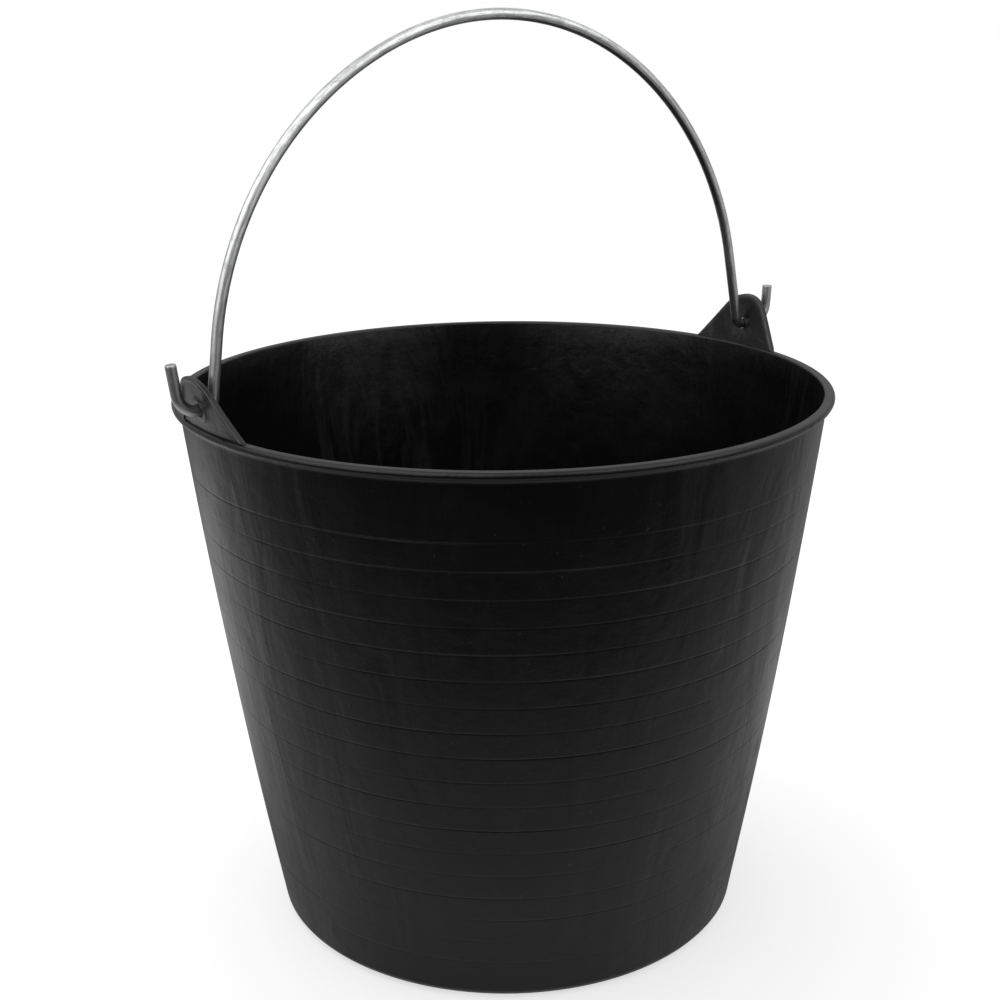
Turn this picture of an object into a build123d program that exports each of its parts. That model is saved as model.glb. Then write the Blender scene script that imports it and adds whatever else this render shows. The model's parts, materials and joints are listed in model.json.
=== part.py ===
"""Florist bucket: a moulded plastic bucket with two ears, and a steel wire bail that swings in them.

Millimetres. +Z is up. The origin is on the floor, under the middle of the bucket. The ears are on +X and -X.
"""

from build123d import *
import math
import os

# Bucket wall: a cone whose side bulges very slightly
RIM_HEIGHT = 300.0
WALL_RADIUS_AT_FLOOR = 132.5  # the wall's line run on down to the floor
WALL_RADIUS_AT_RIM = 171.0
WALL_BULGE = 2.4  # how far the wall stands out of a straight cone at half height
WALL_THICKNESS = 2.2
OUTER_CORNER = 8
INNER_CORNER = 5.8

# Underside and floor
FOOT_RING_INNER_RADIUS = 111.0
FOOT_RING_DRAFT = 3.0  # how far the recess narrows from the foot ring's tread to its roof
RECESS_HEIGHT = 3.0
FLOOR_THICKNESS = 3.0
FOOT_RING_ROUND = 0.8

# Rim lip: a rounded bead with a hollow curve below it
LIP_RADIUS = 174.4
LIP_ROUND = 2.0
LIP_UNDERCUT_ANGLE = 53.0  # how far the bead's round turns below its widest point, in degrees
COVE_DROP = 6.4  # from the rim down to where the hollow curve leaves the wall
RIM_INNER_ROUND = 1.2

# Fine V-shaped grooves round the wall
RING_COUNT = 18
FIRST_RING_HEIGHT = 25.0
RING_PITCH = 14.15
RING_WIDTH = 1.2
RING_DEPTH = 0.25

# Ears: plates that lean outward, with a raised border on the outer face
EAR_INNER_RADIUS = 170.5  # at the rim's height
EAR_LEAN = 0.24  # outward for each millimetre up
EAR_THICKNESS = 2.2
EAR_HEIGHT = 27.6
EAR_HALF_WIDTH = 31.5
EAR_PEAK_RADIUS = 20.0
EAR_FOOT_FILLET = 3.0
EAR_ROOT_DEPTH = 2.0  # how far the plate runs down inside the lip
EAR_SWEEP = 40.0  # degrees of the cone that the plate is cut from
EAR_EDGE_ROUND = 0.5
EAR_SHORT_EDGE = 4.0  # edges across the plate's thickness are shorter than this
BORDER_HEIGHT = 0.9
BORDER_WIDTH = 2.3
FOOT_REACH = 4.0  # how far the root strip runs past the ear's foot

# Hinge
PIVOT_HEIGHT = RIM_HEIGHT + 11.0
HOLE_RADIUS = 3.35
BOSS_RADIUS = 6.2
BOSS_HEIGHT = 0.6

# Bail: one steel wire, bent by hand, so its two ends differ a little
WIRE_RADIUS = 2.75
WIRE_END_CHAMFER = 0.4
ARCH_RADIUS = 165.2
ARCH_SHIFT = -0.6  # the arch is a little off the middle
ARCH_CENTRE_HEIGHT = 6.4  # above the hinge axis
ELBOW_RADIUS = 5.0
HOOK_RADIUS = 10.0
# for each end: side, where the leg's line meets the hinge axis, where the hook starts to bend up,
# how far the hook leans outward in degrees, and the length of its straight end
WIRE_ENDS = [
    (1, 170.0, 182.6, 3.0, 10.8),
    (-1, 168.8, 176.6, 6.5, 14.6),
]

TOUCH = 0.01  # slack when a corner is picked by its position


def wall_radius(height):
    """Outer radius of the plain wall at a height above the floor."""
    share = height / RIM_HEIGHT
    straight = WALL_RADIUS_AT_FLOOR + (WALL_RADIUS_AT_RIM - WALL_RADIUS_AT_FLOOR) * share
    return straight + 4 * WALL_BULGE * share * (1 - share)


def cone_band(inward, outward, low, high):
    """Corners of a band of the ears' leaning cone, between two heights above the rim."""
    return [
        (EAR_INNER_RADIUS + inward + EAR_LEAN * low, low),
        (EAR_INNER_RADIUS + outward + EAR_LEAN * low, low),
        (EAR_INNER_RADIUS + outward + EAR_LEAN * high, high),
        (EAR_INNER_RADIUS + inward + EAR_LEAN * high, high),
    ]


# ---- bucket shell: floor, foot ring, wall and lip, turned about Z
cove_height = RIM_HEIGHT - COVE_DROP
floor_top = RECESS_HEIGHT + FLOOR_THICKNESS
wall_slope = math.degrees(math.atan2(WALL_RADIUS_AT_RIM - WALL_RADIUS_AT_FLOOR, RIM_HEIGHT))
half_height = RIM_HEIGHT / 2

with BuildPart() as shell:
    with BuildSketch(Plane.XZ) as shell_profile:
        with BuildLine():
            underside = Polyline(
                (0, RECESS_HEIGHT),
                (FOOT_RING_INNER_RADIUS - FOOT_RING_DRAFT, RECESS_HEIGHT),
                (FOOT_RING_INNER_RADIUS, 0),
                (wall_radius(0), 0),
            )
            outside = ThreePointArc(
                underside @ 1,
                (wall_radius(half_height), half_height),
                (wall_radius(cove_height), cove_height),
            )
            bead = CenterArc(
                center=(LIP_RADIUS - LIP_ROUND, RIM_HEIGHT - LIP_ROUND),
                radius=LIP_ROUND,
                start_angle=-LIP_UNDERCUT_ANGLE,
                arc_size=90 + LIP_UNDERCUT_ANGLE,
            )
            TangentArc(outside @ 1, bead @ 0, tangent=outside % 1)
            rim_top = Line(bead @ 1, (wall_radius(RIM_HEIGHT) - WALL_THICKNESS, RIM_HEIGHT))
            inside = ThreePointArc(
                rim_top @ 1,
                (wall_radius(half_height) - WALL_THICKNESS, half_height),
                (wall_radius(floor_top) - WALL_THICKNESS, floor_top),
            )
            Polyline(inside @ 1, (0, floor_top), (0, RECESS_HEIGHT))
        make_face()
        foot_edges = shell_profile.vertices().group_by(Axis.Y)[0].sort_by(Axis.X)
        fillet(foot_edges[-1], OUTER_CORNER)
        foot_edges = shell_profile.vertices().group_by(Axis.Y)[0].sort_by(Axis.X)
        fillet(foot_edges[0], FOOT_RING_ROUND)
        floor_ends = shell_profile.vertices().filter_by(lambda v: abs(v.Y - floor_top) < TOUCH)
        fillet(floor_ends.sort_by(Axis.X)[-1], INNER_CORNER)
        rim_edges = shell_profile.vertices().group_by(Axis.Y)[-1].sort_by(Axis.X)
        fillet(rim_edges[0], RIM_INNER_ROUND)
    revolve(axis=Axis.Z)

    ring_heights = [FIRST_RING_HEIGHT + ring * RING_PITCH for ring in range(RING_COUNT)]
    ring_places = [Location((wall_radius(h), h, 0), (0, 0, -wall_slope)) for h in ring_heights]
    with BuildSketch(Plane.XZ) as grooves:
        with Locations(*ring_places):
            # the V runs on outside the wall at the same angle, so it cuts the wall cleanly
            Polygon((-RING_DEPTH, 0), (RING_DEPTH, RING_WIDTH), (RING_DEPTH, -RING_WIDTH), align=None)
    revolve(axis=Axis.Z, mode=Mode.SUBTRACT)

# ---- outline of an ear seen from outside: straight flanks, round top, hollow feet
peak_centre = EAR_HEIGHT - EAR_PEAK_RADIUS
foot_to_centre = math.hypot(EAR_HALF_WIDTH, peak_centre)
flank_lean = math.atan2(peak_centre, EAR_HALF_WIDTH) + math.asin(EAR_PEAK_RADIUS / foot_to_centre)
flank_end = (EAR_PEAK_RADIUS * math.sin(flank_lean), peak_centre + EAR_PEAK_RADIUS * math.cos(flank_lean))
panel_radius = EAR_PEAK_RADIUS - BORDER_WIDTH
panel_half_width = EAR_HALF_WIDTH - BORDER_WIDTH / math.sin(flank_lean)
panel_end = (panel_radius * math.sin(flank_lean), peak_centre + panel_radius * math.cos(flank_lean))
rim_centre = (0, 0, RIM_HEIGHT)
ear_face = Plane(origin=rim_centre, x_dir=(0, 1, 0), z_dir=(1, 0, 0))
ear_radial = Plane(origin=rim_centre, x_dir=(1, 0, 0), z_dir=(0, -1, 0)).rotated((0, 0, -EAR_SWEEP / 2))

with BuildPart() as ear:
    with BuildSketch(ear_radial) as plate_section:
        Polygon(*cone_band(0, EAR_THICKNESS + BORDER_HEIGHT, -EAR_ROOT_DEPTH, EAR_HEIGHT), align=None)
    revolve(axis=Axis.Z, revolution_arc=EAR_SWEEP)
    with BuildSketch(ear_face) as ear_outline:
        with BuildLine():
            right_flank = Line((EAR_HALF_WIDTH, 0), flank_end)
            ThreePointArc(right_flank @ 1, (0, EAR_HEIGHT), (-flank_end[0], flank_end[1]))
            Polyline((-flank_end[0], flank_end[1]), (-EAR_HALF_WIDTH, 0), (-EAR_HALF_WIDTH - FOOT_REACH, 0))
            Polyline(
                (-EAR_HALF_WIDTH - FOOT_REACH, 0),
                (-EAR_HALF_WIDTH - FOOT_REACH, -EAR_ROOT_DEPTH),
                (EAR_HALF_WIDTH + FOOT_REACH, -EAR_ROOT_DEPTH),
                (EAR_HALF_WIDTH + FOOT_REACH, 0),
                (EAR_HALF_WIDTH, 0),
            )
        make_face()
        feet = ear_outline.vertices().filter_by(lambda v: abs(abs(v.X) - EAR_HALF_WIDTH) < TOUCH)
        fillet(feet, EAR_FOOT_FILLET)
    extrude(amount=2 * LIP_RADIUS, mode=Mode.INTERSECT)
    long_edges = ear.edges().filter_by(lambda e: e.center().Z > RIM_HEIGHT and e.length > EAR_SHORT_EDGE)
    fillet(long_edges, EAR_EDGE_ROUND)

with BuildPart() as panel:
    with BuildSketch(ear_radial) as panel_section:
        panel_band = cone_band(EAR_THICKNESS, EAR_THICKNESS + 2 * BORDER_HEIGHT, -EAR_ROOT_DEPTH, EAR_HEIGHT)
        Polygon(*panel_band, align=None)
    revolve(axis=Axis.Z, revolution_arc=EAR_SWEEP)
    with BuildSketch(ear_face) as panel_outline:
        with BuildLine():
            Line((panel_half_width, 0), panel_end)
            ThreePointArc(panel_end, (0, peak_centre + panel_radius), (-panel_end[0], panel_end[1]))
            Line((-panel_end[0], panel_end[1]), (-panel_half_width, 0))
            Polyline(
                (-panel_half_width, 0),
                (-panel_half_width, -EAR_ROOT_DEPTH),
                (panel_half_width, -EAR_ROOT_DEPTH),
                (panel_half_width, 0),
            )
        make_face()
    extrude(amount=2 * LIP_RADIUS, mode=Mode.INTERSECT)

with BuildPart() as boss:
    with BuildSketch(ear_radial) as boss_section:
        boss_low = PIVOT_HEIGHT - RIM_HEIGHT - 2 * BOSS_RADIUS
        Polygon(*cone_band(EAR_THICKNESS / 2, EAR_THICKNESS + BOSS_HEIGHT, boss_low, EAR_HEIGHT), align=None)
    revolve(axis=Axis.Z, revolution_arc=EAR_SWEEP)
    with BuildSketch(Plane.YZ) as boss_outline:
        with Locations((0, PIVOT_HEIGHT)):
            Circle(BOSS_RADIUS)
    extrude(amount=2 * LIP_RADIUS, mode=Mode.INTERSECT)

# ---- bucket_body: the whole moulding
with BuildPart() as bucket_body:
    add(ear.part)
    add(panel.part, mode=Mode.SUBTRACT)
    add(boss.part)
    mirror(about=Plane.YZ)
    add(shell.part)
    with BuildSketch(Plane.YZ) as hinge_hole:
        with Locations((0, PIVOT_HEIGHT)):
            Circle(HOLE_RADIUS)
    extrude(amount=2 * LIP_RADIUS, both=True, mode=Mode.SUBTRACT)

# ---- bail_handle: one wire, from the cut end of one hook over the arch to the other
bail_plane = Plane(origin=(0, 0, PIVOT_HEIGHT), x_dir=(1, 0, 0), z_dir=(0, -1, 0))
leg_leans = []

with BuildPart() as bail_handle:
    with BuildLine(bail_plane) as bail_path:
        for side, corner_x, hook_x, hook_lean, end_length in WIRE_ENDS:
            # the leg is the line from its corner that touches the arch's circle
            reach = corner_x - side * ARCH_SHIFT
            lean = math.acos(ARCH_RADIUS / math.hypot(reach, ARCH_CENTRE_HEIGHT))
            lean -= math.atan2(ARCH_CENTRE_HEIGHT, reach)
            leg_leans.append(math.degrees(lean))
            leg_top = (
                ARCH_SHIFT + side * ARCH_RADIUS * math.cos(lean),
                ARCH_CENTRE_HEIGHT + ARCH_RADIUS * math.sin(lean),
            )
            elbow_x = corner_x + ELBOW_RADIUS * math.tan((math.pi / 2 - lean) / 2)
            through_ear = Line((side * hook_x, 0), (side * elbow_x, 0))
            elbow_turn = -side * (90 - leg_leans[-1])
            elbow = JernArc(through_ear @ 1, through_ear % 1, radius=ELBOW_RADIUS, arc_size=elbow_turn)
            leg = Line(elbow @ 1, leg_top)
            hook = JernArc(through_ear @ 0, (side, 0), radius=HOOK_RADIUS, arc_size=side * (90 - hook_lean))
            hook_end = PolarLine(hook @ 1, length=end_length, direction=hook % 1)
        arch = CenterArc(
            center=(ARCH_SHIFT, ARCH_CENTRE_HEIGHT),
            radius=ARCH_RADIUS,
            start_angle=leg_leans[0],
            arc_size=180 - sum(leg_leans),
        )
    wire_line = bail_path.wires()[0]
    with BuildSketch(Plane(origin=wire_line @ 0, z_dir=wire_line % 0)) as wire_section:
        Circle(WIRE_RADIUS)
    sweep(path=wire_line)
    cut_ends = bail_handle.faces().filter_by(GeomType.PLANE)
    chamfer(cut_ends.edges(), WIRE_END_CHAMFER)

os.makedirs("parts", exist_ok=True)
bucket_body.part.label = "bucket_body"
export_step(bucket_body.part, "parts/bucket_body.step")
bail_handle.part.label = "bail_handle"
export_step(bail_handle.part, "parts/bail_handle.step")
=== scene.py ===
import json
import math

import bpy
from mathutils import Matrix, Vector


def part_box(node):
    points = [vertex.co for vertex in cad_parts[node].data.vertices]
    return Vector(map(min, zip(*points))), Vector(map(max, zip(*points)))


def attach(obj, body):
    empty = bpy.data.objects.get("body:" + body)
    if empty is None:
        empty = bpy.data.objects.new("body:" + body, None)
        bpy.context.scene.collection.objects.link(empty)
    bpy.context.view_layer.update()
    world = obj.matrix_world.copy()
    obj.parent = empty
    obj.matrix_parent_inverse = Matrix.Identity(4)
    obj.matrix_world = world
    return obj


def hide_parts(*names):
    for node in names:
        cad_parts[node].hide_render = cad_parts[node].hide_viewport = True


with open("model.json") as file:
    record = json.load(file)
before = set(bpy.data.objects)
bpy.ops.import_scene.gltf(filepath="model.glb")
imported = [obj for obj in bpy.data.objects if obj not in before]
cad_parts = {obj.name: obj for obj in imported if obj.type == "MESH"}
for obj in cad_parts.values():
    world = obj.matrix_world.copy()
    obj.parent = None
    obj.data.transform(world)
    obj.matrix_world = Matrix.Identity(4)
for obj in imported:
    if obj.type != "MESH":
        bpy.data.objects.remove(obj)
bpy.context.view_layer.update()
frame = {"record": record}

MM = 0.001

# ------------------------------------------------------------------ sizes of the bucket, as in the CAD
body_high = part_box("bucket_body")[1]
RIM = 0.300
LIP_R = body_high[1]
PIVOT_Z = frame["record"]["behaviour"]["joints"][0]["pos_m"][2]

WALL_R_FLOOR = 0.1325
WALL_R_RIM = 0.1710
WALL_BULGE = 0.0024
WALL_T = 0.0022
COVE_DROP = 0.0064
LIP_ROUND = 0.0020
LIP_UNDERCUT = math.radians(53)
RIM_INNER_ROUND = 0.0012
OUTER_CORNER = 0.008
INNER_CORNER = 0.0058
FLOOR_TOP = 0.006
RECESS_TOP = 0.003
FOOT_RING_R = 0.111
FOOT_RING_DRAFT = 0.003
FOOT_RING_ROUND = 0.0008
RECESS_ROUND = 0.0012

RING_COUNT = 18
RING_FIRST = 0.0250
RING_PITCH = 0.01415
RING_HALF = 0.0006
RING_DEPTH = 0.00025

AROUND = 264  # quads round the bucket


def wall_r(z):
    """Outer radius of the plain wall at height z."""
    s = z / RIM
    return WALL_R_FLOOR + (WALL_R_RIM - WALL_R_FLOOR) * s + 4 * WALL_BULGE * s * (1 - s)


def arc(cx, cz, r, a0, a1, n):
    """Points on an arc, angles in degrees, ends included."""
    angles = [math.radians(a0 + (a1 - a0) * i / n) for i in range(n + 1)]
    return [(cx + r * math.cos(a), cz + r * math.sin(a)) for a in angles]


def turned(p, angle):
    """The vector p turned clockwise by an angle."""
    c, s = math.cos(angle), math.sin(angle)
    return Vector((p.x * c + p.y * s, p.y * c - p.x * s))


def corner(a, b, c, r, n):
    """Round the corner b between a and c with radius r."""
    a, b, c = Vector(a), Vector(b), Vector(c)
    u, v = (a - b).normalized(), (c - b).normalized()
    half = u.angle(v) / 2
    t = r / math.tan(half)
    centre = b + (u + v).normalized() * (r / math.sin(half))
    p, q = b + u * t - centre, b + v * t - centre
    total = p.angle_signed(q)
    return [tuple(centre + turned(p, total * i / n)) for i in range(n + 1)]


def underside():
    """From the middle of the underside, over the foot ring, to the start of the wall."""
    roof_edge = (FOOT_RING_R - FOOT_RING_DRAFT, RECESS_TOP)
    tread_edge = (FOOT_RING_R, 0)
    pts = [(r, RECESS_TOP) for r in (0.0, 0.004, 0.012, 0.025, 0.045, 0.065, 0.085, 0.1)]
    pts += corner((0.1, RECESS_TOP), roof_edge, tread_edge, RECESS_ROUND, 4)
    pts += corner(roof_edge, tread_edge, (0.12, 0), FOOT_RING_ROUND, 4)
    return pts + corner((0.12, 0), (WALL_R_FLOOR, 0), (wall_r(0.04), 0.04), OUTER_CORNER, 12)


def ringed_wall():
    """The outside of the wall, with a fine V-shaped ring at every pitch, up to below the lip."""
    # half a ring's section: distance from its middle in half widths, and share of its depth
    half_ring = ((0.12, 1), (0.55, 0.45), (1.0, 0.06), (1.6, 0))
    ring = [(-k, depth) for k, depth in reversed(half_ring)] + list(half_ring)
    pts = []
    for i in range(RING_COUNT):
        mid = RING_FIRST + i * RING_PITCH
        pts += [(wall_r(mid + f * RING_PITCH), mid + f * RING_PITCH) for f in (-0.36, -0.18, -0.1)]
        for k, depth in ring:
            z = mid + k * RING_HALF
            pts.append((wall_r(z) - depth * RING_DEPTH, z))
        pts += [(wall_r(mid + f * RING_PITCH), mid + f * RING_PITCH) for f in (0.1, 0.18, 0.36)]
    cove = RIM - COVE_DROP
    return pts + [(wall_r(z), z) for z in (0.276, 0.282, 0.287, 0.2905, cove - 0.0012, cove)]


def lip():
    """The hollow curve below the bead, and the bead over to the inner edge of the rim."""
    cove = RIM - COVE_DROP
    bead_r, bead_z = LIP_R - LIP_ROUND, RIM - LIP_ROUND
    end = (bead_r + LIP_ROUND * math.cos(LIP_UNDERCUT), bead_z - LIP_ROUND * math.sin(LIP_UNDERCUT))
    start = Vector((wall_r(cove), cove))
    tangent = Vector((wall_r(cove) - wall_r(cove - MM), MM)).normalized()
    chord = Vector(end) - start
    turn = math.atan2(tangent.y, tangent.x) - math.atan2(chord.y, chord.x)
    radius = chord.length / (2 * math.sin(turn))
    centre = start + Vector((tangent.y, -tangent.x)) * radius
    pts = [tuple(centre + turned(start - centre, 2 * turn * i / 8)) for i in range(1, 9)]
    # the curve's last point is set a little in, to keep a crease where it meets the bead
    pts[-1] = (pts[-1][0] - 0.0001, pts[-1][1] - 0.00002)
    pts += arc(bead_r, bead_z, LIP_ROUND, -math.degrees(LIP_UNDERCUT) + 4, 90, 14)
    inner_edge = (wall_r(RIM) - WALL_T, RIM)
    return pts + corner((bead_r, RIM), inner_edge, (wall_r(0.29) - WALL_T, 0.29), RIM_INNER_ROUND, 6)


def inside():
    """Down the inside of the wall and over the inner floor to its middle."""
    high, low, steps = 0.2975, 0.02, 26
    heights = [high - (high - low) * i / steps for i in range(1, steps)]
    pts = [(wall_r(z) - WALL_T, z) for z in heights]
    floor_edge = (wall_r(FLOOR_TOP) - WALL_T, FLOOR_TOP)
    pts += corner((wall_r(low) - WALL_T, low), floor_edge, (0.1, FLOOR_TOP), INNER_CORNER, 8)
    return pts + [(r, FLOOR_TOP) for r in (0.115, 0.1, 0.08, 0.06, 0.04, 0.025, 0.012, 0.004, 0.0)]


def new_mesh(name, verts, faces):
    """A new object in the scene, made of one mesh and shaded smooth."""
    me = bpy.data.meshes.new(name)
    me.from_pydata(verts, [], faces)
    me.validate()
    me.update()
    me.shade_smooth()
    ob = bpy.data.objects.new(name, me)
    bpy.context.scene.collection.objects.link(ob)
    return ob


def waviness(a, z):
    """Small unevenness of the moulded wall, in metres, at angle a and height z."""
    s = z / RIM
    w = 0.00016 * math.sin(3 * a + 0.7 + 1.3 * s) + 0.00010 * math.sin(5 * a - 2.1 + 4.0 * s)
    w += 0.00006 * math.sin(11 * a + 5.0 * s) * math.sin(7.3 * s + 1.0)
    w += 0.00005 * math.sin(17 * a - 9.0 * s + 0.4)
    return w


def ring_wear(a, z):
    """Share of a ring's depth that has worn or filled away at angle a and height z."""
    s = (z - RING_FIRST) / RING_PITCH
    wear = 0.56 + 0.20 * math.sin(3 * a + 1.9 * s) + 0.16 * math.sin(8 * a - 2.7 * s + 1)
    return min(0.85, max(0.25, wear))


def clamped(value):
    """The value, kept between 0 and 1."""
    return min(1.0, max(0.0, value))


def make_bucket():
    """The moulding without its ears: one profile turned about Z, with worn rings and an uneven wall."""
    verts, faces, rows = [], [], []
    for r, z in underside() + ringed_wall() + lip() + inside():
        if r == 0:
            rows.append([len(verts)] * AROUND)
            verts.append((0, 0, z))
            continue
        rows.append(range(len(verts), len(verts) + AROUND))
        # no unevenness in the middle of the floor, at the foot or on the lip
        fade = clamped((r - 0.05) / 0.06) * clamped(z / 0.02) * clamped((RIM - 0.008 - z) / 0.03)
        groove = wall_r(z) - r
        in_ring = 0 < groove <= RING_DEPTH * 1.01
        for i in range(AROUND):
            a = 2 * math.pi * i / AROUND
            filled = groove * ring_wear(a, z) if in_ring else 0.0
            radius = r + filled + waviness(a, z) * fade
            verts.append((radius * math.cos(a), radius * math.sin(a), z))
    for low, high in zip(rows, rows[1:]):
        for i in range(AROUND):
            j = (i + 1) % AROUND
            if low[i] == low[j]:
                faces.append((low[i], high[j], high[i]))
            elif high[i] == high[j]:
                faces.append((low[i], low[j], high[i]))
            else:
                faces.append((low[i], low[j], high[j], high[i]))
    return new_mesh("bucket_shell", verts, faces)


# ------------------------------------------------------------------ ears
EAR_R0 = 0.1705  # inner radius at the rim's height
EAR_LEAN = 0.24
EAR_T = 0.0022
BORDER_H = 0.0009
BORDER_W = 0.0023
EAR_H = 0.0276
EAR_HALF = 0.0315
PEAK_R = 0.020
FOOT_R = 0.003
ROOT = 0.0020
HOLE_R = 0.0032  # a little tighter than in the CAD
BOSS_R = 0.0062
BOSS_H = 0.0006
FIELD_EDGE = BORDER_W + 0.45 * MM  # from the outline to the flat panel inside the border
BOSS_EDGE = BOSS_R + 0.4 * MM
HOLE_H = PIVOT_Z - RIM
HIDDEN = 0.05  # share of the border left on the samples inside the lip, so that the loops never fold there


def ear_outline():
    """Outline of an ear seen from outside, counter-clockwise from the bottom middle.

    Each entry is (point, direction inward, share of the border's width, share of the border's height).
    """
    centre_h = EAR_H - PEAK_R
    lean = math.atan2(centre_h, EAR_HALF) + math.asin(PEAK_R / math.hypot(EAR_HALF, centre_h))
    tip = Vector((PEAK_R * math.sin(lean), centre_h + PEAK_R * math.cos(lean)))
    foot = Vector((EAR_HALF, 0))
    up_flank = (tip - foot).normalized()
    flank_in = Vector((-up_flank.y, up_flank.x))
    half_turn = math.acos(up_flank.x) / 2
    reach = FOOT_R / math.tan(half_turn)
    round_centre = Vector((EAR_HALF + reach, FOOT_R))
    end_angle = math.atan2(up_flank.y * reach - FOOT_R, up_flank.x * reach - reach)
    corner_y = EAR_HALF + reach
    bottom = (0, 0.007, 0.014, 0.021, 0.027, corner_y - 0.002)
    right = [(Vector((y, -ROOT)), Vector((0, 1)), HIDDEN, HIDDEN) for y in bottom]
    for h in (-ROOT, -0.0012, -0.0006):
        right.append((Vector((corner_y, h)), Vector((-1, 0)), HIDDEN, HIDDEN))
    # the round starts a little way up, where it is steeper than the spokes from the hole
    start_angle = -math.radians(112)
    for i in range(7):
        angle = start_angle + (end_angle - start_angle) * i / 6
        p = round_centre + Vector((math.cos(angle), math.sin(angle))) * FOOT_R
        right.append((p, flank_in, HIDDEN + (0.45 - HIDDEN) * i / 6, max(HIDDEN, i / 6)))
    top_of_round = foot + up_flank * reach
    for i in range(1, 12):
        p = top_of_round.lerp(tip, i / 12)
        right.append((p, flank_in, min(1.0, 0.45 + 0.14 * i), 1))
    for i in range(12):
        angle = lean * (1 - i / 12)
        spoke = Vector((math.sin(angle), math.cos(angle)))
        right.append((Vector((0, centre_h)) + spoke * PEAK_R, -spoke, 1, 1))
    left = [(Vector((-p.x, p.y)), Vector((-d.x, d.y)), w, b) for p, d, w, b in reversed(right[1:])]
    return right + [(Vector((0, EAR_H)), Vector((0, -1)), 1, 1)] + left


def ear_loops():
    """Loops round the hole, from its inner end over the outer face, the rim and back over the inner face.

    Each loop is (kind, value, thickness): "hole" with a radius, "mix" with a share of the way out to the
    border, or "rim" with an inset from the outline. A fourth entry says how pale the loop is painted: a
    painted highlight along the border's edges, partly also rubbed wear.
    """
    boss, top = EAR_T + BOSS_H, EAR_T + BORDER_H
    loops = [
        ("hole", HOLE_R + 0.05 * MM, 0.15 * MM),
        ("hole", HOLE_R, 0.5 * MM),
        ("hole", HOLE_R, boss - 0.35 * MM),
        ("hole", HOLE_R + 0.1 * MM, boss - 0.1 * MM),
        ("hole", HOLE_R + 0.35 * MM, boss),
        ("hole", BOSS_R - 0.35 * MM, boss),
        ("hole", BOSS_R - 0.1 * MM, boss - 0.1 * MM),
        ("hole", BOSS_R, boss - 0.3 * MM),
        ("hole", BOSS_R + 0.12 * MM, EAR_T + 0.12 * MM),
        ("hole", BOSS_EDGE, EAR_T),
    ]
    loops += [("mix", way, EAR_T) for way in (0.15, 0.3, 0.45, 0.6, 0.75, 0.9)]
    loops += [
        ("rim", FIELD_EDGE, EAR_T),
        ("rim", BORDER_W + 0.12 * MM, EAR_T + 0.12 * MM),
        ("rim", BORDER_W, top - 0.35 * MM),
        ("rim", BORDER_W - 0.1 * MM, top - 0.1 * MM, 1.0),
        ("rim", BORDER_W - 0.35 * MM, top),
        ("rim", 0.7 * MM, top),
        ("rim", 0.35 * MM, top - 0.07 * MM, 1.0),
        ("rim", 0.1 * MM, top - 0.3 * MM, 1.0),
        ("rim", 0.0, top - 0.7 * MM),
        ("rim", 0.0, EAR_T * 0.5),
        ("rim", 0.0, 0.55 * MM),
        ("rim", 0.12 * MM, 0.18 * MM, 1.0),
        ("rim", 0.45 * MM, 0.0, 0.6),
        ("rim", FIELD_EDGE, 0.0),
    ]
    loops += [("mix", way, 0.0) for way in (0.9, 0.7, 0.5, 0.3, 0.15)]
    loops += [
        ("hole", BOSS_R, 0.0),
        ("hole", HOLE_R + 0.4 * MM, 0.0),
        ("hole", HOLE_R + 0.15 * MM, 0.05 * MM),
    ]
    return loops


def on_cone(side, p, thick):
    """Where a point of the flat outline comes to lie on the ears' leaning cone, thick being its depth."""
    radius = EAR_R0 + thick + EAR_LEAN * p.y
    return (side * math.sqrt(radius * radius - p.x * p.x), p.x, RIM + p.y)


def make_ear(name, side):
    """One ear, on +X or -X: loops round its hole, joined from one to the next and back to the first."""
    outline = ear_outline()
    loops = ear_loops()
    hub = Vector((0, HOLE_H))
    verts, faces, highlit_and_rubbed = [], [], []
    for kind, value, thick, *wear in loops:
        for point, inward, width, height in outline:
            ray = (point - hub).normalized()
            raised = thick
            if kind == "hole":
                p = hub + ray * value
            elif kind == "mix":
                p = (hub + ray * BOSS_EDGE).lerp(point + inward * FIELD_EDGE * width, value)
            else:
                p = point + inward * value * width
                if thick > EAR_T:
                    raised = EAR_T + (thick - EAR_T) * height
            verts.append(on_cone(side, p, raised))
            # how pale each point is painted: a painted highlight along the border's edges, partly rubbed
            # wear
            highlit_and_rubbed.append(wear[0] * height if wear and height > HIDDEN else 0.0)
    count = len(outline)
    for i in range(len(loops)):
        here, there = i * count, (i + 1) % len(loops) * count
        for k in range(count):
            after = (k + 1) % count
            quad = (here + k, here + after, there + after, there + k)
            faces.append(quad if side < 0 else quad[::-1])
    ob = new_mesh(name, verts, faces)
    attribute = ob.data.attributes.new("highlit_and_rubbed", "FLOAT", "POINT")
    attribute.data.foreach_set("value", highlit_and_rubbed)
    return ob


# ------------------------------------------------------------------ bail
WIRE_R = 0.00275
ARCH_R = 0.1652
ARCH_SHIFT = -0.0006
ARCH_CENTRE = 0.0064  # above the hinge axis
ELBOW_R = 0.005
HOOK_R = 0.010
WIRE_SIDES = 36
UNEVEN_FROM = 0.03  # height above the hinge axis where the wire starts to be uneven
UNEVEN_FADE = 0.04  # how much further up it is fully uneven
# the rounded edge of a cut end: place along the wire, and how far the radius is cut back there
CUT_EDGE = ((0.0, 0.0004), (0.00012, 0.00018), (0.0004, 0.00002))
CUT_FLAT = 0.6  # share of the cut end's radius that its middle fan takes up
# for each end: side, where the leg meets the hinge axis, where the hook's bend starts, its lean outward
# in degrees, and the length of its straight end
WIRE_ENDS = ((1, 0.1700, 0.1826, 3.0, 0.0108), (-1, 0.1688, 0.1766, 6.5, 0.0146))


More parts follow.
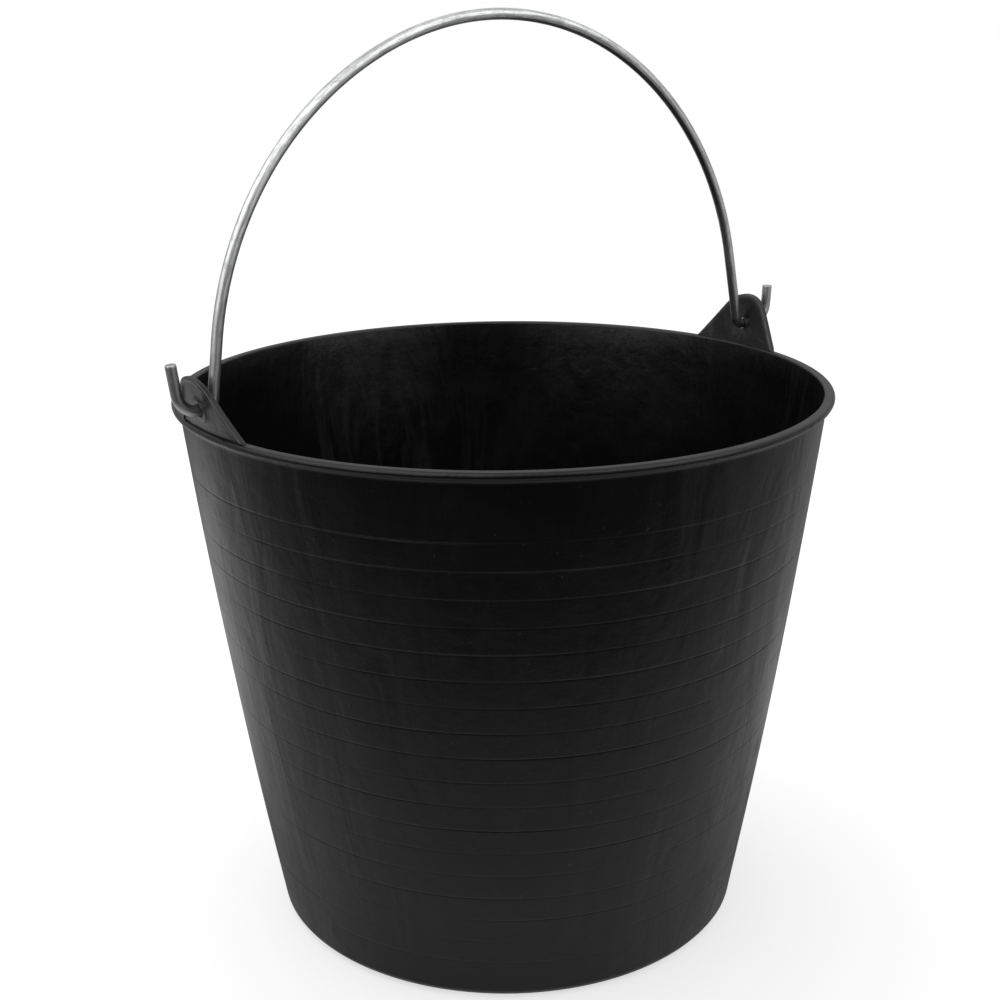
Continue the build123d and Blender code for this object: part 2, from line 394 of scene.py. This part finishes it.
def line(a, b, n):
    """n points from a towards b, without b."""
    return [(a[0] + (b[0] - a[0]) * i / n, a[1] + (b[1] - a[1]) * i / n) for i in range(n)]


def wire_end(side, corner_x, hook_x, hook_lean, end_length):
    """Middle line in the bail's plane, from the hook's cut end to the top of the leg, and the leg's lean.

    Both ends are laid out as if on +X and then put on their own side.
    """
    reach = corner_x - side * ARCH_SHIFT
    lean = math.acos(ARCH_R / math.hypot(reach, ARCH_CENTRE)) - math.atan2(ARCH_CENTRE, reach)
    elbow_x = corner_x + ELBOW_R * math.tan((math.pi / 2 - lean) / 2)
    tilt = math.radians(hook_lean)
    bend_end = (hook_x + HOOK_R * math.cos(tilt), HOOK_R - HOOK_R * math.sin(tilt))
    cut_end = (bend_end[0] + end_length * math.sin(tilt), bend_end[1] + end_length * math.cos(tilt))
    points = line(cut_end, bend_end, 14)
    points += arc(hook_x, HOOK_R, HOOK_R, -hook_lean, -90, 20)[:-1]
    points += line((hook_x, 0), (elbow_x, 0), 6)
    elbow = arc(elbow_x, ELBOW_R, ELBOW_R, 270, 180 + math.degrees(lean), 14)
    points += elbow[:-1]
    leg_top = (side * ARCH_SHIFT + ARCH_R * math.cos(lean), ARCH_CENTRE + ARCH_R * math.sin(lean))
    points += line(elbow[-1], leg_top, 20)
    return [(side * x, s) for x, s in points], math.degrees(lean)


def wire_path():
    """Middle line of the whole wire from one cut end to the other, a little uneven."""
    right, right_lean = wire_end(*WIRE_ENDS[0])
    left, left_lean = wire_end(*WIRE_ENDS[1])
    arch = arc(ARCH_SHIFT, ARCH_CENTRE, ARCH_R, right_lean, 180 - left_lean, 210)
    path = []
    for x, up in right + arch + left[::-1]:
        w = clamped((up - UNEVEN_FROM) / UNEVEN_FADE)
        y = w * 0.0005 * (math.sin(17 * x + 0.6) + 0.5 * math.sin(43 * x + 2.0))
        sag = w * 0.0002 * (math.sin(31 * x + 1.1) - 1)
        path.append(Vector((x, y, PIVOT_Z + up + sag)))
    return path


def cap(verts, faces, along, ring, forward):
    """Close one cut end with a band and a fan."""
    centre = sum((Vector(verts[q]) for q in ring), Vector()) / len(ring)
    first = len(verts)
    middle = first + WIRE_SIDES
    for q in ring:
        verts.append(tuple(centre + (Vector(verts[q]) - centre) * CUT_FLAT))
        along.append(along[q])
    verts.append(tuple(centre))
    along.append(along[ring[0]])
    for k in range(WIRE_SIDES):
        after = (k + 1) % WIRE_SIDES
        quad = (ring[k], ring[after], first + after, first + k)
        fan = (first + k, first + after, middle)
        faces.append(quad if forward else quad[::-1])
        faces.append(fan if forward else fan[::-1])


def make_bail():
    """The wire: rings along its path, closed at the cut ends. Its points know their length along it."""
    path = wire_path()
    last = len(path) - 1
    across = Vector((0, 1, 0))
    edges = {0: CUT_EDGE, last: [(-shift, cut) for shift, cut in reversed(CUT_EDGE)]}
    rings, verts, faces, along = [], [], [], []
    length = 0.0
    for i, place in enumerate(path):
        before, after = path[max(i - 1, 0)], path[min(i + 1, last)]
        if i:
            length += (place - before).length
        t = (after - before).normalized()
        u = (across - t * across.dot(t)).normalized()
        v = t.cross(u)
        for shift, cut in edges.get(i, ((0.0, 0.0),)):
            rings.append(range(len(verts), len(verts) + WIRE_SIDES))
            for k in range(WIRE_SIDES):
                a = 2 * math.pi * k / WIRE_SIDES
                spoke = u * math.cos(a) + v * math.sin(a)
                verts.append(tuple(place + t * shift + spoke * (WIRE_R - cut)))
                along.append((length, a))
    for low, high in zip(rings, rings[1:]):
        for k in range(WIRE_SIDES):
            after = (k + 1) % WIRE_SIDES
            faces.append((low[k], low[after], high[after], high[k]))
    cap(verts, faces, along, rings[0], False)
    cap(verts, faces, along, rings[-1], True)
    ob = new_mesh("bail_wire", verts, faces)
    unrolled = ob.data.attributes.new("along", "FLOAT_VECTOR", "POINT")
    for entry, (l, a) in zip(unrolled.data, along):
        entry.vector = (l, math.cos(a) * WIRE_R, math.sin(a) * WIRE_R)
    to_end = ob.data.attributes.new("to_end", "FLOAT", "POINT")
    to_end.data.foreach_set("value", [min(l, length - l) for l, _ in along])
    return ob


shell = make_bucket()
ear_r = make_ear("ear_right", 1)
ear_l = make_ear("ear_left", -1)
wire = make_bail()


# ------------------------------------------------------------------ materials
NEAR_SCALE = 50  # brings distances of a few millimetres into a colour ramp's range of 0 to 1


class Nodes:
    """A material and short ways to add nodes to it."""

    def __init__(self, name):
        self.mat = bpy.data.materials.new(name)
        self.mat.use_nodes = True
        self.tree = self.mat.node_tree
        self.bsdf = self.tree.nodes["Principled BSDF"]

    def add(self, kind, **settings):
        node = self.tree.nodes.new(kind)
        for key, value in settings.items():
            setattr(node, key, value)
        return node

    def link(self, a, b):
        self.tree.links.new(a, b)

    def scaled(self, vector, scale):
        node = self.add("ShaderNodeMapping")
        node.inputs["Scale"].default_value = scale
        self.link(vector, node.inputs["Vector"])
        return node.outputs["Vector"]

    def coords(self, scale=(1, 1, 1)):
        return self.scaled(self.add("ShaderNodeTexCoord").outputs["Object"], scale)

    def attribute(self, name, output):
        return self.add("ShaderNodeAttribute", attribute_name=name).outputs[output]

    def noise(self, vector, scale, detail, rough, distort=0.0):
        n = self.add("ShaderNodeTexNoise")
        n.inputs["Scale"].default_value = scale
        n.inputs["Detail"].default_value = detail
        n.inputs["Roughness"].default_value = rough
        n.inputs["Distortion"].default_value = distort
        self.link(vector, n.inputs["Vector"])
        return n.outputs["Fac"]

    def ramp(self, fac, *stops):
        r = self.add("ShaderNodeValToRGB")
        while len(r.color_ramp.elements) < len(stops):
            r.color_ramp.elements.new(0.5)
        for el, (pos, val) in zip(r.color_ramp.elements, stops):
            el.position = pos
            el.color = (val, val, val, 1)
        self.link(fac, r.inputs["Fac"])
        return r.outputs["Color"]

    def math(self, op, a, b=None, clamp=False):
        m = self.add("ShaderNodeMath", operation=op, use_clamp=clamp)
        for i, x in enumerate((a, b)):
            if x is None:
                continue
            if isinstance(x, (int, float)):
                m.inputs[i].default_value = x
            else:
                self.link(x, m.inputs[i])
        return m.outputs[0]

    def mix(self, fac, a, b):
        m = self.add("ShaderNodeMix", data_type="RGBA")
        for sock, x in ((m.inputs["Factor"], fac), (m.inputs["A"], a), (m.inputs["B"], b)):
            if isinstance(x, (int, float)):
                sock.default_value = x if sock.type == "VALUE" else (x, x, x, 1)
            elif isinstance(x, tuple):
                sock.default_value = (*x, 1)
            else:
                self.link(x, sock)
        return m.outputs["Result"]

    def near_hinge(self, full, none):
        """1 up to one distance from the hinge line, falling to 0 at another, in metres."""
        xyz = self.add("ShaderNodeSeparateXYZ")
        self.link(self.coords(), xyz.inputs[0])
        up = self.math("SUBTRACT", xyz.outputs["Z"], PIVOT_Z)
        across = xyz.outputs["Y"]
        squares = self.math("ADD", self.math("MULTIPLY", across, across), self.math("MULTIPLY", up, up))
        away = self.math("MULTIPLY", self.math("SQRT", squares), NEAR_SCALE)
        return self.ramp(away, (full * NEAR_SCALE, 1.0), (none * NEAR_SCALE, 0.0))

    def bump(self, height, strength, distance, normal=None):
        b = self.add("ShaderNodeBump")
        b.inputs["Strength"].default_value = strength
        b.inputs["Distance"].default_value = distance
        self.link(height, b.inputs["Height"])
        if normal is not None:
            self.link(normal, b.inputs["Normal"])
        return b.outputs["Normal"]


def black_plastic():
    """Soft black moulded plastic: faint flow marks and clouds, fine grain, scuffs, a few pale specks, and
    pale edges on the ears' border that are painted highlights, partly rubbed wear.
    """
    m = Nodes("black_plastic")
    flat = m.coords()
    clouds = m.noise(flat, 11, 5, 0.62, 0.9)
    flow = m.noise(m.coords((1, 1, 0.2)), 26, 6, 0.62, 1.6)
    patches = m.ramp(m.noise(m.coords((1, 1, 0.5)), 6, 3, 0.5), (0.48, 0.0), (0.68, 1.0))
    marks = m.math("MULTIPLY", m.ramp(flow, (0.50, 0.0), (0.57, 1.0), (0.64, 0.0)), patches)
    specks = m.ramp(m.noise(flat, 420, 2, 0.5), (0.725, 0.0), (0.75, 1.0))
    blotches = m.ramp(m.noise(flat, 260, 4, 0.6), (0.42, 0.0), (0.66, 1.0))
    scuffs = m.math("MULTIPLY", m.near_hinge(0.004, 0.012), blotches)
    patchy = m.ramp(m.noise(flat, 130, 3, 0.5), (0.30, 0.35), (0.62, 1.0))
    # the ears' border edges painted pale in patches: a painted highlight, partly rubbed wear
    highlit_and_worn_edges = m.math("MULTIPLY", m.attribute("highlit_and_rubbed", "Fac"), patchy)

    base = m.mix(clouds, 0.0012, 0.0042)
    base = m.mix(m.math("MULTIPLY", marks, 0.7), base, 0.0090)
    base = m.mix(m.math("MULTIPLY", specks, 0.6), base, 0.028)
    base = m.mix(m.math("MULTIPLY", scuffs, 0.8), base, 0.060)
    # the pale 0.11 on the border's edges is a painted highlight, partly rubbed wear
    m.link(m.mix(highlit_and_worn_edges, base, 0.11), m.bsdf.inputs["Base Color"])

    rough = m.math("ADD", m.math("MULTIPLY", clouds, 0.22), 0.18)
    m.link(m.math("ADD", rough, m.math("MULTIPLY", marks, 0.14)), m.bsdf.inputs["Roughness"])
    m.bsdf.inputs["IOR"].default_value = 1.44

    sags = m.bump(m.noise(m.coords((1, 1, 0.30)), 38, 3, 0.48, 0.7), 0.75, 0.0015)
    waves = m.bump(m.noise(flat, 85, 4, 0.58), 0.42, 0.0008, sags)
    grain = m.bump(m.noise(flat, 900, 3, 0.6), 0.12, 0.0001, waves)
    m.link(grain, m.bsdf.inputs["Normal"])
    return m.mat


def galvanised_wire():
    """Drawn steel wire with a zinc coat: draw marks along it, dull blotches, darker towards its ends."""
    m = Nodes("galvanised_wire")
    unrolled = m.attribute("along", "Vector")
    bands = m.noise(m.scaled(unrolled, (0.03, 1, 1)), 620, 3, 0.6)
    lines = m.noise(m.scaled(unrolled, (0.05, 1, 1)), 2100, 3, 0.65)
    mottle = m.noise(m.scaled(unrolled, (0.6, 1, 1)), 330, 5, 0.65, 0.7)
    cloud = m.noise(unrolled, 40, 3, 0.5)
    near_end = m.ramp(m.math("MULTIPLY", m.attribute("to_end", "Fac"), 10), (0.40, 0.50), (0.85, 0.0))

    grey = m.mix(m.ramp(bands, (0.36, 0.0), (0.60, 1.0)), (0.68, 0.685, 0.69), (0.97, 0.975, 0.98))
    grey = m.mix(m.ramp(lines, (0.50, 0.0), (0.64, 0.9)), grey, (0.40, 0.405, 0.41))
    grey = m.mix(m.ramp(mottle, (0.50, 0.0), (0.70, 0.6)), grey, (0.36, 0.365, 0.37))
    grey = m.mix(m.ramp(cloud, (0.45, 0.0), (0.70, 0.35)), grey, (0.45, 0.455, 0.46))
    m.link(m.mix(near_end, grey, (0.34, 0.345, 0.35)), m.bsdf.inputs["Base Color"])
    m.bsdf.inputs["Metallic"].default_value = 1.0
    m.link(m.math("ADD", m.math("MULTIPLY", mottle, 0.25), 0.24), m.bsdf.inputs["Roughness"])

    drawn = m.bump(bands, 0.50, 0.00035)
    fine = m.bump(lines, 0.45, 0.00012, drawn)
    m.link(m.bump(mottle, 0.20, 0.00012, fine), m.bsdf.inputs["Normal"])
    return m.mat


plastic = black_plastic()
for ob in (shell, ear_r, ear_l):
    ob.data.materials.append(plastic)
    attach(ob, "bucket")
    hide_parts("bucket_body")
wire.data.materials.append(galvanised_wire())
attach(wire, "bail")
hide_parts("bail_handle")

# ------------------------------------------------------------------ stage and light
# The studio is a pale floor with soft light from above and from the sides. What the floor shows in the
# bucket's gloss is set by place, and what the sky shows is set by direction.
scene = bpy.context.scene
scene.view_settings.view_transform = "Standard"
CAMERA_AZIMUTH = math.radians(-35.37)
FLOOR_GREY = 0.62
FLOOR_GLOW = 0.62  # what the camera sees added to the floor's own light
# patches of light that the floor shows in gloss: centre (right, back), stretch along each of the two, near
# and far distance, brightness near and far
FLOOR_PATCHES = (
    ((0, 0.02), (1.7, 1.0), 0.17, 0.62, 0.50, 0.03),
    ((-0.60, 0.40), (1.0, 1.0), 0.0, 0.55, 0.60, 0.0),
    ((0.50, 0.50), (1.0, 1.0), 0.0, 0.50, 0.22, 0.0),
    ((-0.1, -0.7), (1.0, 1.6), 0.7, 1.6, 0.0, 0.38),
)
# the same for the shade at the bucket's foot, as a share that is left of their light
FOOT_SHADE = ((0, 0.10), (1, 1), 0.17, 0.28, 0.45, 1.0)
SKY_UP = 0.46  # brightness that the sky shows in gloss overhead
SKY_UP_RISE = (0.15, 0.65)  # height of the direction where it starts and where it is full
SKY_FRONT = 0.06  # the same on the camera's side
SKY_BACK = 0.32  # and behind the bucket
SKY_TURN = (-0.9, 0.3)  # how far back the direction points where the one ends and where the other is full
SKY_DIFFUSE = 0.62  # brightness of the sky as a light
# soft panels: direction (right, back, up), where the panel starts to fade and where it ends in degrees,
# brightness
SKY_PANELS = (
    ((-0.587, -0.492, 0.643), 26, 50, 1.05),
    ((0.726, -0.420, 0.545), 22, 38, 1.00),
)


def around(right, back, up):
    """A place or a direction, given to the right of, behind and above the bucket as the camera sees it."""
    c, s = math.cos(CAMERA_AZIMUTH), math.sin(CAMERA_AZIMUTH)
    return Vector((right * c - back * s, right * s + back * c, up))


class Light(Nodes):
    """Nodes that work out how bright a place or a direction looks."""

    def __init__(self, tree):
        self.tree = tree

    def dot(self, vector, direction):
        node = self.add("ShaderNodeVectorMath", operation="DOT_PRODUCT")
        node.inputs[1].default_value = direction
        self.link(vector, node.inputs[0])
        return node.outputs["Value"]

    def smooth(self, value, low, high, at_low, at_high):
        node = self.add("ShaderNodeMapRange", interpolation_type="SMOOTHSTEP")
        for key, number in zip(("From Min", "From Max", "To Min", "To Max"), (low, high, at_low, at_high)):
            node.inputs[key].default_value = number
        self.link(value, node.inputs["Value"])
        return node.outputs["Result"]

    def distance(self, vector, centre, stretch):
        """Distance from a place, with the axes to the right and to the back stretched."""
        terms = []
        for axis, size in ((around(1, 0, 0), stretch[0]), (around(0, 1, 0), stretch[1])):
            term = self.math("SUBTRACT", self.dot(vector, axis), around(*centre, 0).dot(axis))
            term = self.math("DIVIDE", term, size)
            terms.append(self.math("MULTIPLY", term, term))
        return self.math("SQRT", self.math("ADD", *terms))

    def patch(self, place, centre, stretch, near, far, at_near, at_far):
        return self.smooth(self.distance(place, centre, stretch), near, far, at_near, at_far)


def make_floor():
    """The stage's floor: pale to the camera, with patches of light to the gloss of the bucket."""
    corners = [(x * 20, y * 20, 0) for x, y in ((-1, -1), (1, -1), (1, 1), (-1, 1))]
    floor = new_mesh("floor", corners, [(0, 1, 2, 3)])
    mat = bpy.data.materials.new("pale_floor")
    mat.use_nodes = True
    light = Light(mat.node_tree)
    seen = light.tree.nodes["Principled BSDF"]
    seen.inputs["Base Color"].default_value = (FLOOR_GREY, FLOOR_GREY, FLOOR_GREY, 1)
    seen.inputs["Roughness"].default_value = 1.0
    seen.inputs["Specular IOR Level"].default_value = 0.0
    seen.inputs["Emission Color"].default_value = (1, 1, 1, 1)
    path = light.add("ShaderNodeLightPath")
    added = light.math("MULTIPLY", path.outputs["Is Camera Ray"], FLOOR_GLOW)
    light.link(added, seen.inputs["Emission Strength"])

    place = light.add("ShaderNodeNewGeometry").outputs["Position"]
    total = light.patch(place, *FLOOR_PATCHES[0])
    for patch in FLOOR_PATCHES[1:]:
        total = light.math("ADD", total, light.patch(place, *patch))
    total = light.math("MULTIPLY", total, light.patch(place, *FOOT_SHADE))
    glow = light.add("ShaderNodeEmission")
    light.link(total, glow.inputs["Strength"])
    mixer = light.add("ShaderNodeMixShader")
    light.link(path.outputs["Is Glossy Ray"], mixer.inputs["Fac"])
    light.link(seen.outputs["BSDF"], mixer.inputs[1])
    light.link(glow.outputs["Emission"], mixer.inputs[2])
    light.link(mixer.outputs["Shader"], light.tree.nodes["Material Output"].inputs["Surface"])
    floor.data.materials.append(mat)


def make_world():
    """The studio's sky: plain white to the camera, with soft panels to the gloss of the bucket and wire."""
    world = bpy.data.worlds.new("studio")
    world.use_nodes = True
    scene.world = world
    light = Light(world.node_tree)
    direction = light.add("ShaderNodeTexCoord").outputs["Generated"]
    up = light.dot(direction, (0, 0, 1))
    back = light.dot(direction, around(0, 1, 0))
    total = light.smooth(up, *SKY_UP_RISE, 0.0, SKY_UP)
    total = light.math("ADD", total, light.smooth(back, *SKY_TURN, SKY_FRONT, SKY_BACK))
    for towards, inner, outer, power in SKY_PANELS:
        facing = light.dot(direction, around(*towards).normalized())
        edges = (math.cos(math.radians(outer)), math.cos(math.radians(inner)))
        total = light.math("ADD", total, light.smooth(facing, *edges, 0.0, power))
    path = light.add("ShaderNodeLightPath")
    shown = light.mix(path.outputs["Is Glossy Ray"], SKY_DIFFUSE, total)
    shown = light.mix(path.outputs["Is Camera Ray"], shown, 1.0)
    light.link(shown, light.tree.nodes["Background"].inputs["Color"])


def make_lamp():
    """A soft lamp above, to the left and behind. It isn't itself mirrored in the floor or the bucket."""
    lamp = bpy.data.lights.new("top_lamp", "AREA")
    lamp.shape = "RECTANGLE"
    lamp.size = lamp.size_y = 1.6
    lamp.energy = 9
    ob = bpy.data.objects.new("top_lamp", lamp)
    ob.location = around(-0.4, 0.3, 1.8)
    ob.rotation_euler = (Vector((0, 0, 0.2)) - ob.location).to_track_quat("-Z", "Y").to_euler()
    ob.visible_glossy = False
    scene.collection.objects.link(ob)


make_floor()
make_world()
make_lamp()

# ------------------------------------------------------------------ camera
cam = bpy.data.cameras.new("camera")
cam.sensor_width = 36.0
cam.lens = 55.47
cam.shift_x = -0.0012
cam.shift_y = 0.14
camera = bpy.data.objects.new("camera", cam)
camera.location = (-0.4716, -0.6644, 0.4861)
camera.rotation_euler = (math.radians(67.63), math.radians(0.53), math.radians(-35.425))
scene.collection.objects.link(camera)
scene.camera = camera
